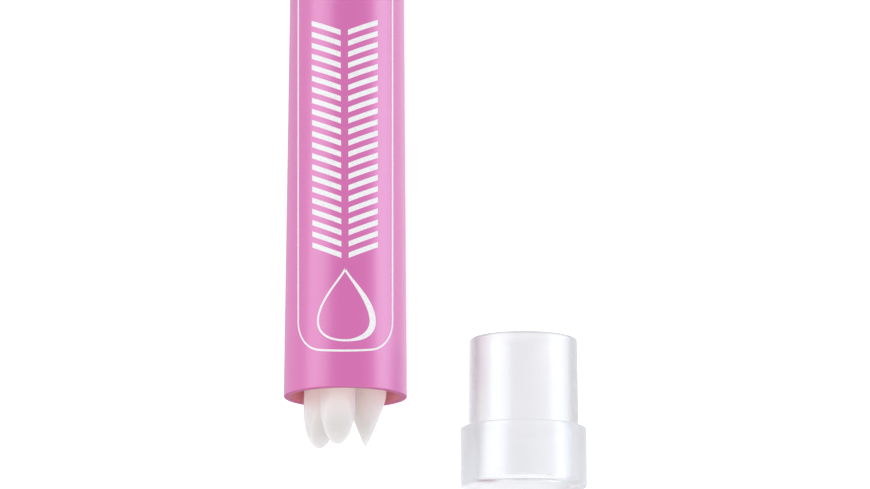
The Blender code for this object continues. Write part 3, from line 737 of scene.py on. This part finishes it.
    # skewed as printed, then wrapped
    artwork = addNode(tree, "GeometryNodeJoinGeometry", {"Geometry": [frameLine, *groups, drop]})
    aside = addNode(tree, "ShaderNodeCombineXYZ", {"X": given["Aside"]})
    turn = addNode(tree, "ShaderNodeCombineXYZ", {"Z": given["Skew"]})
    solid = addNode(tree, "GeometryNodeRealizeInstances", {"Geometry": artwork})
    skewed = addNode(
        tree, "GeometryNodeTransform", {"Geometry": solid, "Translation": aside, "Rotation": turn},
    )
    wider = addNode(
        tree, "ShaderNodeMath", [here["Y"], given["Widening"], 1.0], operation="MULTIPLY_ADD",
    )
    across = addNode(tree, "ShaderNodeMath", [here["X"], wider], operation="MULTIPLY")
    lost = addNode(tree, "ShaderNodeMath", [here["Y"], given["Cone Slope"]], operation="MULTIPLY")
    surface = addNode(tree, "ShaderNodeMath", [given["Rear Radius"], lost], operation="SUBTRACT")
    angle = addNode(tree, "ShaderNodeMath", [across, surface], operation="DIVIDE")
    over = addNode(tree, "ShaderNodeMath", [here["Z"], 0.0], operation="GREATER_THAN")
    top = addNode(tree, "ShaderNodeMath", [over, height], operation="MULTIPLY")
    lift = addNode(tree, "ShaderNodeMath", [top, given["Ink Sink"]], operation="SUBTRACT")
    radius = addNode(tree, "ShaderNodeMath", [surface, lift], operation="ADD")
    sine = addNode(tree, "ShaderNodeMath", [angle], operation="SINE")
    cosine = addNode(tree, "ShaderNodeMath", [angle], operation="COSINE")
    below = addNode(tree, "ShaderNodeMath", [radius, -1.0], operation="MULTIPLY")
    wrapX = addNode(tree, "ShaderNodeMath", [radius, sine], operation="MULTIPLY")
    wrapY = addNode(tree, "ShaderNodeMath", [below, cosine], operation="MULTIPLY")
    return endTree(tree, movedPoints(tree, skewed, "Position", X=wrapX, Y=wrapY, Z=here["Y"]), printedInk)


inkMesh = grownMesh(makeDecorationTree(), bpy.data.meshes.new("flatArtwork"))
finishPiece("barrelPrint", inkMesh, penFrame, "pen")
print("stage 4: print wrapped on the barrel,", len(inkMesh.polygons), "faces")


# Felt tips: the nib in use and the three spares

tip = dict(
    radius=1.97 * mm,
    length=21.0 * mm,
    noseLength=4.70 * mm,
    longFlat=math.radians(21.9),  # ground flats, from the axis
    shortFlat=math.radians(23.4),
    blunt=0.09 * mm,  # half the thickness left at the edge
    edgeAside=0.35 * mm,  # from the axis to the edge, towards the short flat
    poleAside=0.28 * mm,  # where the edge's skin closes
    poleBack=0.03 * mm,
    tailChamfer=0.20 * mm,
    tailRings=(0.2, 0.4, 0.6, 0.8),
    edgeSoftness=0.32 * mm,  # how far grinding rounds the felt's edges
    leastReach=0.01 * mm,
    around=144,
    step=0.12 * mm,
    noseSteps=64,
    reliefHeight=0.016 * mm,
    strandWidth=0.11 * mm,
    strandLength=1.0 * mm,
    strayPerSquareMm=1.6,
    strayLength=0.42 * mm,
    strayRadius=0.007 * mm,
    strayMiddle=(0.55, 0.0, 0.16),  # of the arc, in stray lengths
    strayEnd=(1.0, 0.25, 0.16),
    strayShortest=0.4,
    smoothUnder=60,
)
spareTips = (
    dict(tail=(-12.6082, -45.4599, 3.7786), towards=(-0.0256409, -0.999369, 0.0245775), roll=145),
    dict(tail=(-10.9930, -45.4762, 7.6984), towards=(-0.00104, -0.9999144, 0.013042), roll=180),
    dict(tail=(-7.3084, -45.1265, 4.1746), towards=(-0.0140327, -0.9998301, -0.0119521), roll=90),
)
nibTail = 98.0 * mm  # from the rear rim


def tipRing(place, share=1.0):
    # One ring of the ground rod: its middle moves over to the edge, and rod and flats blend softly
    t = SimpleNamespace(**tip)
    above = max(0.0, place - t.length + t.noseLength) / t.noseLength
    rod = t.radius * math.sqrt(1 - above ** 2)
    rod = min(rod, t.radius - max(0.0, t.tailChamfer - place))
    middle = -t.edgeAside * above
    longReach = t.blunt - t.edgeAside + (t.length - place) * math.tan(t.longFlat) - middle
    shortReach = t.blunt + t.edgeAside + (t.length - place) * math.tan(t.shortFlat) + middle
    ring = []
    for i in range(t.around):
        angle = math.tau * i / t.around
        across, along = math.cos(angle), math.sin(angle)
        rounded = math.sqrt(rod ** 2 - (middle * along) ** 2) - middle * across
        flat = (longReach if across > 0 else shortReach) / max(abs(across), 1e-6)
        blend = max(t.edgeSoftness - abs(rounded - flat), 0.0) / t.edgeSoftness
        softened = min(rounded, flat) - blend * blend * t.edgeSoftness / 4
        reach = share * max(t.leastReach, softened)
        ring.append((middle + reach * across, reach * along, place))
    return ring


def makeTipBlank():
    t = SimpleNamespace(**tip)
    shoulder = t.length - t.noseLength
    rings = [[(0, 0, 0)]]
    rings += [tipRing(0, share) for share in t.tailRings]
    rings += [tipRing(i * t.step) for i in range(int(shoulder / t.step) + 1)]
    for i in range(t.noseSteps):
        turn = math.pi / 2 * i / t.noseSteps
        if t.radius * math.cos(turn) > t.edgeAside + t.blunt / 3:
            rings.append(tipRing(shoulder + t.noseLength * math.sin(turn)))
    rings.append([(-t.poleAside, 0, t.length - t.poleBack)])
    return meshOfRings("feltBlank", rings)


def makeFeltTree():
    t = SimpleNamespace(**tip)
    tree, given = startTree("feltSurface", {
        "Relief Height": t.reliefHeight,
        "Strand Width": t.strandWidth,
        "Strand Length": t.strandLength,
        "Strays Per Square Metre": t.strayPerSquareMm * 1e6,
        "Stray Length": t.strayLength,
        "Stray Radius": t.strayRadius,
        "Seed": 3,
    })
    at = addNode(tree, "GeometryNodeInputPosition")
    size = addNode(tree, "ShaderNodeCombineXYZ", {
        "X": given["Strand Width"], "Y": given["Strand Width"], "Z": given["Strand Length"],
    })
    stretched = addNode(tree, "ShaderNodeVectorMath", [at, size], operation="DIVIDE")
    strands = addNode(tree, "ShaderNodeTexNoise", {"Vector": stretched, "Scale": 1.0, "Detail": 2.0})
    centred = addNode(tree, "ShaderNodeMath", [strands, 0.5], operation="SUBTRACT")
    depth = addNode(tree, "ShaderNodeMath", [centred, given["Relief Height"]], operation="MULTIPLY")
    normal = addNode(tree, "GeometryNodeInputNormal")
    push = addNode(tree, "ShaderNodeVectorMath", {0: normal, "Scale": depth}, operation="SCALE")
    relief = addNode(tree, "GeometryNodeSetPosition", {"Geometry": given["Geometry"], "Offset": push})

    # stray fibres: short arcs that lean along the rod
    spots = addNode(tree, "GeometryNodeDistributePointsOnFaces", {
        "Mesh": relief, "Density": given["Strays Per Square Metre"], "Seed": given["Seed"],
    })
    middle, end = (
        addNode(tree, "ShaderNodeVectorMath", {0: bend, "Scale": given["Stray Length"]}, operation="SCALE")
        for bend in (t.strayMiddle, t.strayEnd)
    )
    arc = addNode(tree, "GeometryNodeCurveQuadraticBezier", {
        "Resolution": 3, "Start": (0, 0, 0), "Middle": middle, "End": end,
    })
    section = addNode(
        tree, "GeometryNodeCurvePrimitiveCircle", {"Resolution": 4, "Radius": given["Stray Radius"]},
        mode="RADIUS",
    )
    fibre = addNode(
        tree, "GeometryNodeCurveToMesh", {"Curve": arc, "Profile Curve": section, "Fill Caps": True},
    )
    spin = addNode(tree, "FunctionNodeRandomValue", {
        "Min": (0.0, 0.0, 0.0), "Max": (0.0, 0.0, math.tau), "Seed": given["Seed"],
    }, data_type="FLOAT_VECTOR")
    grow = addNode(tree, "FunctionNodeRandomValue", {
        "Min": t.strayShortest, "Max": 1.0, "Seed": given["Seed"],
    }, data_type="FLOAT")
    facing = addNode(
        tree, "FunctionNodeAlignRotationToVector", {"Vector": spots.outputs["Normal"]}, axis="Z",
    )
    turned = addNode(
        tree, "FunctionNodeRotateRotation", {"Rotation": facing, "Rotate By": spin}, rotation_space="LOCAL",
    )
    strays = addNode(tree, "GeometryNodeInstanceOnPoints", {
        "Points": spots, "Instance": fibre, "Rotation": turned, "Scale": grow,
    })
    felt = addNode(tree, "GeometryNodeJoinGeometry", {"Geometry": [relief, strays]})
    return endTree(tree, felt, bondedFelt)


def tipFrame(tail, towards, roll):
    # The rod's own Z runs to its working end, and X is square to its flats at roll 0
    out = Vector(towards).normalized()
    down = penFrame.to_3x3() @ Vector((0, 1, 0))
    thick = (down - out * down.dot(out)).normalized()
    turn = Matrix((thick, out.cross(thick), out)).transposed().to_4x4()
    return Matrix.Translation(Vector(tail) * mm) @ turn @ Matrix.Rotation(math.radians(roll), 4, "Z")


tipBlank = makeTipBlank()
feltTree = makeFeltTree()
for number, spare in enumerate(spareTips, start=1):
    felt = grownMesh(feltTree, tipBlank, {"Seed": 10 + number})
    finishPiece(
        f"spareTip{number}", felt, tipFrame(**spare), f"spare_{number}", f"spare_tip_{number}",
        smoothUnder=tip["smoothUnder"],
    )
nibMesh = grownMesh(feltTree, tipBlank, {"Seed": 10})
finishPiece(
    "nibTip", nibMesh, penFrame @ Matrix.Translation((0, 0, nibTail)), "pen", "nib",
    smoothUnder=tip["smoothUnder"],
)
print("stage 5: felt tips ground,", len(nibMesh.polygons), "faces each")


# Nib holder

holder = dict(
    stop=100.8 * mm,
    nibBore=2.12 * mm,
    nibBoreEdge=0.08 * mm,
    noseFront=112.5 * mm,
    noseRadius=3.00 * mm,
    noseEdge=0.45 * mm,
    landFront=106.5 * mm,
    landRadius=4.10 * mm,
    landEdge=0.1 * mm,
    neckFront=103.5 * mm,
    neckRadius=4.90 * mm,
    neckFillet=0.08 * mm,
    neckBead=0.12 * mm,
    neckBeadWidth=1.2 * mm,
    neckBeadPlace=100.4 * mm,
    flangeFront=97.5 * mm,
    flangeRear=96.3 * mm,
    flangeEdge=0.15 * mm,
    spigotRadius=5.15 * mm,
    spigotBead=0.20 * mm,
    spigotBeadWidth=0.9 * mm,
    spigotBeadPlace=91.8 * mm,
    spigotRear=87.6 * mm,
    spigotLead=0.4 * mm,
    bore=4.20 * mm,
    ventCount=4,
    ventRadius=0.40 * mm,
    grooveCount=3,
    grooveWidth=1.2 * mm,
    grooveDepth=0.30 * mm,
    grooveShort=0.3 * mm,  # of the flange
    cutterBeyond=0.5 * mm,  # the ends that it opens
    cutterProud=0.7 * mm,  # of the spigot
)


def makeHolder():
    h = SimpleNamespace(**holder)
    halfNeck, halfBead, beyond = h.neckBeadWidth / 2, h.spigotBeadWidth / 2, h.cutterBeyond
    body = turnedMesh("holder", [
        (h.nibBore, h.stop),
        (h.nibBore, h.noseFront, h.nibBoreEdge),
        (h.noseRadius, h.noseFront, h.noseEdge),
        (h.landRadius, h.landFront, h.landEdge),
        (h.landRadius, h.neckFront, h.neckFillet),
        (h.neckRadius, h.neckFront, h.noseEdge),
        (h.neckRadius, h.neckBeadPlace + halfNeck),
        (h.neckRadius + h.neckBead, h.neckBeadPlace, halfNeck),
        (h.neckRadius, h.neckBeadPlace - halfNeck),
        (h.neckRadius, h.flangeFront),
        (bodyRadius(h.flangeFront), h.flangeFront, h.flangeEdge),
        (bodyRadius(h.flangeRear), h.flangeRear, h.flangeEdge),
        (h.spigotRadius, h.flangeRear),
        (h.spigotRadius, h.spigotBeadPlace + halfBead),
        (h.spigotRadius + h.spigotBead, h.spigotBeadPlace),
        (h.spigotRadius, h.spigotBeadPlace - halfBead),
        (h.spigotRadius, h.spigotRear + h.spigotLead),
        (h.spigotRadius - h.spigotLead / 2, h.spigotRear),
        (h.bore, h.spigotRear),
        (h.bore, h.stop),
    ], around=160, closed=True)
    vents = makeRingTree("ventsInTheNose", "DIFFERENCE", True, mouldedWhite)
    low, high = h.stop - beyond, h.noseFront + beyond
    vented = grownMesh(vents, body, {
        "Count": h.ventCount,
        "Size": (h.ventRadius, h.ventRadius, high - low),
        "Offset": (h.nibBore, 0, (low + high) / 2),
        "Phase": math.pi / h.ventCount,
    })
    grooves = makeRingTree("groovesInTheSpigot", "DIFFERENCE", False, mouldedWhite)
    mesh = grownMesh(grooves, vented, ringBars(
        h.grooveCount, h.spigotRadius - h.grooveDepth, h.spigotRadius + h.cutterProud,
        h.grooveWidth, h.spigotRear - beyond, h.flangeRear - h.grooveShort,
    ))
    finishPiece("nibHolder", mesh, penFrame, "pen", "nib_holder", mouldedWhite)


makeHolder()
print("stage 6: nib holder turned and vented")


# Reservoir, hidden in the barrel

reservoir = dict(
    rear=17.9 * mm,
    front=100.5 * mm,
    radius=3.70 * mm,
    edge=0.30 * mm,
    socketRadius=2.12 * mm,
    socketFloor=97.7 * mm,
    filmInner=3.80 * mm,
    filmOuter=3.95 * mm,
)


def makeReservoir():
    r = SimpleNamespace(**reservoir)
    core = turnedMesh("core", [
        (0, r.socketFloor),
        (r.socketRadius, r.socketFloor),
        (r.socketRadius, r.front),
        (r.radius, r.front, r.edge),
        (r.radius, r.rear, r.edge),
        (0, r.rear),
    ], around=96)
    finishPiece("reservoirCore", core, penFrame, "pen", "reservoir_core", reservoirFibre)
    film = turnedMesh("film", [
        (r.filmInner, r.front),
        (r.filmOuter, r.front),
        (r.filmOuter, r.rear),
        (r.filmInner, r.rear),
    ], around=96, closed=True)
    finishPiece("reservoirFilm", film, penFrame, "pen", "reservoir_film", wrapFilm)


makeReservoir()
print("stage 7: reservoir wound")


# Cap and its inner seal

cap = dict(
    mouth=97.8 * mm,
    front=132.3 * mm,
    wall=0.95 * mm,
    endWall=1.4 * mm,
    endEdge=0.5 * mm,
    mouthEdge=0.15 * mm,
    ringPlace=99.0 * mm,
    ringWidth=0.7 * mm,
    ringRadius=5.08 * mm,
    ringEdge=0.12 * mm,
    finCount=4,
    finThickness=0.9 * mm,
    finInner=1.0 * mm,
    finClear=0.3 * mm,  # of the seal
    gateRadius=0.9 * mm,  # dimple round the mould's gate
    gateDepth=0.12 * mm,
    gateEdge=0.04 * mm,
    gateFillet=0.06 * mm,
    nubRadius=0.3 * mm,  # stub that the gate leaves
    nubFlare=0.03 * mm,
    nubTop=0.06 * mm,
    nubShoulder=0.05 * mm,
    nubEdge=0.03 * mm,
    nubFillet=0.02 * mm,
    bareBeyond=0.1 * mm,  # past the cavity's end, how far faces still count as bare
)
seal = dict(
    mouth=104.0 * mm,
    front=121.8 * mm,
    gap=0.30 * mm,
    wall=0.60 * mm,
    endWall=0.8 * mm,
    edge=0.25 * mm,
)


def capBore(place):
    return bodyRadius(place) - cap["wall"]


def makeCap():
    c = SimpleNamespace(**cap)
    end = c.front - c.endWall
    floor = c.front - c.gateDepth
    body = turnedMesh("cap", [
        (0, floor + c.nubTop),
        (c.nubRadius, floor + c.nubShoulder, c.nubEdge),
        (c.nubRadius + c.nubFlare, floor, c.nubFillet),
        (c.gateRadius - c.gateDepth, floor, c.gateFillet),
        (c.gateRadius, c.front, c.gateEdge),
        (bodyRadius(c.front), c.front, c.endEdge),
        (bodyRadius(c.mouth), c.mouth, c.mouthEdge),
        (capBore(c.mouth), c.mouth, c.mouthEdge),
        (capBore(c.ringPlace - c.ringWidth), c.ringPlace - c.ringWidth),
        (c.ringRadius, c.ringPlace - c.ringWidth / 4, c.ringEdge),
        (c.ringRadius, c.ringPlace + c.ringWidth / 4, c.ringEdge),
        (capBore(c.ringPlace + c.ringWidth), c.ringPlace + c.ringWidth),
        (capBore(end), end, c.endEdge),
        (0, end),
    ])
    fins = makeRingTree("finsInTheCap", "UNION", False, lacqueredPink)
    mesh = grownMesh(fins, body, ringBars(
        c.finCount, c.finInner, capBore(end) + c.wall / 2, c.finThickness,
        seal["front"] + c.finClear, end + c.endWall / 2,
    ))
    setMaterials(mesh, lacqueredPink, rimPinkAndShade)
    for face in mesh.polygons:
        inside = face.center.xy.length < bodyRadius(face.center.z) - pen["skinMargin"]
        face.material_index = inside and face.center.z < end + c.bareBeyond
    finishPiece("capShell", mesh, penFrame, "cap", "cap_shell")


def makeSeal():
    s = SimpleNamespace(**seal)
    end = s.front - s.endWall
    cup = turnedMesh("seal", [
        (0, s.front),
        (capBore(s.front) - s.gap, s.front, s.edge),
        (capBore(s.mouth) - s.gap, s.mouth, s.edge),
        (capBore(s.mouth) - s.gap - s.wall, s.mouth, s.edge),
        (capBore(end) - s.gap - s.wall, end, s.edge),
        (0, end),
    ], around=144)
    finishPiece(
        "capInnerSeal", cup, penFrame, "cap", "cap_inner_seal", naturalPolyethylene,
    )


makeCap()
makeSeal()
print("stage 8: cap and seal turned")


# End plug; its sizes stand with its place, near the top

def makePlug():
    p = SimpleNamespace(**plug)
    floor = p.endWall - p.collarLength
    body = turnedMesh("plug", [
        (0, floor),
        (p.cavityFloor, floor, p.floorFillet),
        (p.cavityMouth, p.insertLength, p.lipEdge),
        (p.insertEnd, p.insertLength, p.lipEdge),
        (p.insertRoot, 0, p.rootFillet),
        (p.collarRadius, 0, p.shoulderEdge),
        (p.collarRadius, -p.collarLength, p.endEdge),
        (0, -p.collarLength),
    ])
    finishPiece("endPlug", body, plugFrame, "plug", "end_plug", clearPolystyrene)


makePlug()
print("stage 9: end plug turned")


# Floor, light and camera

studio = dict(
    floorSize=4.0,
    floorColour="#F6F6F6",
    floorColourSeenIn="#9A9A9A",  # in a mirror or through glass, where glow keeps pink light off the plug
    floorGlow=0.50,  # what the floor adds for the camera, so that it reads white
    floorGlowThroughGlass=0.67,
    floorGlowMirrored=0.48,  # left of the pen, for mirror rays
    floorGlowSteps=(  # where the mirrored glow starts to change, where it is done, and what it is from there
        (-6.0 * mm, 3.0 * mm, 0.95),
        (11.0 * mm, 18.0 * mm, 0.62),
        (26.0 * mm, 50.0 * mm, 1.4),
    ),
    floorShine=0.08,
    floorIor=1.49,
    skyForDiffuse=0.64,
    ceiling=0.28,  # what mirror rays find overhead
    ceilingThroughGlass=0.75,
    wall=1.0,
    wallThroughGlass=0.8,
    wallTop=0.55,  # sine of the height where the white wall ends
    ceilingStart=0.80,
)
lamps = (
    dict(name="leftSoftbox", direction=(-52, 14), size=(0.45, 0.60), radiance=2.2, colour="#EAF6FF"),
    dict(name="rightSoftbox", direction=(81, 14), size=(0.36, 0.60), radiance=3.4, colour="#E0F0FF"),
    dict(name="frontSoftbox", direction=(25, -50), size=(0.60, 0.40), radiance=1.8, colour="#FFFFFF"),
    dict(name="fillSoftbox", direction=(-32, -50), size=(0.50, 0.40), radiance=1.2, colour="#FFFCF8"),
)
lampDistance = 0.75
shot = dict(
    target=(0.0, -43.234 * mm, 7.0 * mm), elevation=78.503, distance=0.5, lens=180.96, sensor=36.0,
    nearest=0.01, farthest=20.0,
)


def lightPath(tree):
    # The path's outputs, and 1 for what is seen in a mirror or through glass
    path = addNode(tree, "ShaderNodeLightPath").outputs
    kinds = [path["Is Glossy Ray"], path["Is Transmission Ray"]]
    return path, addNode(tree, "ShaderNodeMath", kinds, operation="MAXIMUM")


def makeFloor():
    half = studio["floorSize"] / 2
    mesh = bpy.data.meshes.new("floor")
    corners = [(-half, -half, 0), (half, -half, 0), (half, half, 0), (-half, half, 0)]
    mesh.from_pydata(corners, [], [(0, 1, 2, 3)])
    material = bpy.data.materials.new("whiteAcrylicSheet")
    material.use_nodes = True
    tree = material.node_tree
    tree.nodes.remove(tree.nodes["Principled BSDF"])
    path, seenIn = lightPath(tree)
    where = addNode(tree, "ShaderNodeTexCoord")
    parts = addNode(tree, "ShaderNodeSeparateXYZ", {"Vector": where.outputs["Object"]})
    reached = studio["floorGlowMirrored"]
    for start, end, then in studio["floorGlowSteps"]:
        reached = addNode(tree, "ShaderNodeMapRange", {
            "Value": parts.outputs["X"], "From Min": start, "From Max": end,
            "To Min": reached, "To Max": then,
        }, interpolation_type="SMOOTHSTEP")
    mirrored = addNode(tree, "ShaderNodeMath", [path["Is Glossy Ray"], reached], operation="MULTIPLY")
    faint = addNode(tree, "ShaderNodeMix", {
        "Factor": path["Is Transmission Ray"], "A": mirrored, "B": studio["floorGlowThroughGlass"],
    }, data_type="FLOAT")
    strength = addNode(
        tree, "ShaderNodeMath", [path["Is Camera Ray"], studio["floorGlow"], faint],
        operation="MULTIPLY_ADD",
    )
    glow = addNode(tree, "ShaderNodeEmission", {"Color": (1, 1, 1, 1), "Strength": strength})
    tone = addNode(tree, "ShaderNodeMix", {
        "Factor": seenIn,
        "A": linearColour(studio["floorColour"]),
        "B": linearColour(studio["floorColourSeenIn"]),
    }, data_type="RGBA")
    matte = addNode(tree, "ShaderNodeBsdfDiffuse", {"Color": tone})
    both = addNode(tree, "ShaderNodeAddShader", [glow, matte])
    shine = addNode(tree, "ShaderNodeBsdfGlossy", {"Roughness": studio["floorShine"]})
    fresnel = addNode(tree, "ShaderNodeFresnel", {"IOR": studio["floorIor"]})
    sheet = addNode(tree, "ShaderNodeMixShader", [fresnel, both, shine])
    setInputs(tree, tree.nodes["Material Output"], {"Surface": sheet})
    mesh.materials.append(material)
    floor = addObject("floor", mesh)


def makeWorld():
    world = bpy.data.worlds.new("whiteStudio")
    bpy.context.scene.world = world
    world.use_nodes = True
    tree = world.node_tree
    background = tree.nodes["Background"]
    path, seenIn = lightPath(tree)
    looking = addNode(tree, "ShaderNodeTexCoord")
    parts = addNode(tree, "ShaderNodeSeparateXYZ", {"Vector": looking.outputs["Generated"]})
    overhead, around = (
        addNode(tree, "ShaderNodeMix", {
            "Factor": path["Is Transmission Ray"], "A": studio[part], "B": studio[part + "ThroughGlass"],
        }, data_type="FLOAT")
        for part in ("ceiling", "wall")
    )
    room = addNode(tree, "ShaderNodeMapRange", {
        "Value": parts.outputs["Z"], "From Min": studio["wallTop"], "From Max": studio["ceilingStart"],
        "To Min": around, "To Max": overhead,
    }, interpolation_type="SMOOTHSTEP")
    soft = addNode(tree, "ShaderNodeMix", {
        "Factor": path["Is Camera Ray"], "A": studio["skyForDiffuse"], "B": 1.0,
    }, data_type="FLOAT")
    level = addNode(tree, "ShaderNodeMix", {"Factor": seenIn, "A": soft, "B": room}, data_type="FLOAT")
    setInputs(tree, background, {"Color": (1, 1, 1, 1), "Strength": level})


def makeLamp(name, direction, size, radiance, colour):
    # direction is degrees from overhead: to the right, and ahead
    aside, ahead = (math.radians(angle) for angle in direction)
    out = Vector((math.sin(aside) * math.cos(ahead), math.sin(ahead), math.cos(aside) * math.cos(ahead)))
    light = bpy.data.lights.new(name, "AREA")
    light.shape = "RECTANGLE"
    light.size, light.size_y = size
    light.energy = radiance * size[0] * size[1] * math.pi
    light.color = linearColour(colour)[:3]
    lamp = addObject(name, light)
    lamp.location = Vector(shot["target"]) + out * lampDistance
    lamp.rotation_euler = out.to_track_quat("Z", "Y").to_euler()
    lamp.visible_camera = False
    lamp.visible_transmission = False  # clear plastic mirrors the lamps, but shows only the room behind it


def makeCamera():
    data = bpy.data.cameras.new("camera")
    data.sensor_width = shot["sensor"]
    data.lens = shot["lens"]
    data.clip_start, data.clip_end = shot["nearest"], shot["farthest"]
    camera = addObject("camera", data)
    elevation = math.radians(shot["elevation"])
    back = Vector((0, -math.cos(elevation), math.sin(elevation)))
    camera.location = Vector(shot["target"]) + back * shot["distance"]
    camera.rotation_euler = (math.pi / 2 - elevation, 0, 0)
    bpy.context.scene.camera = camera


makeFloor()
makeWorld()
for lamp in lamps:
    makeLamp(**lamp)
makeCamera()
bpy.context.scene.view_settings.view_transform = "Standard"
print("stage 10: floor, lamps and camera set")
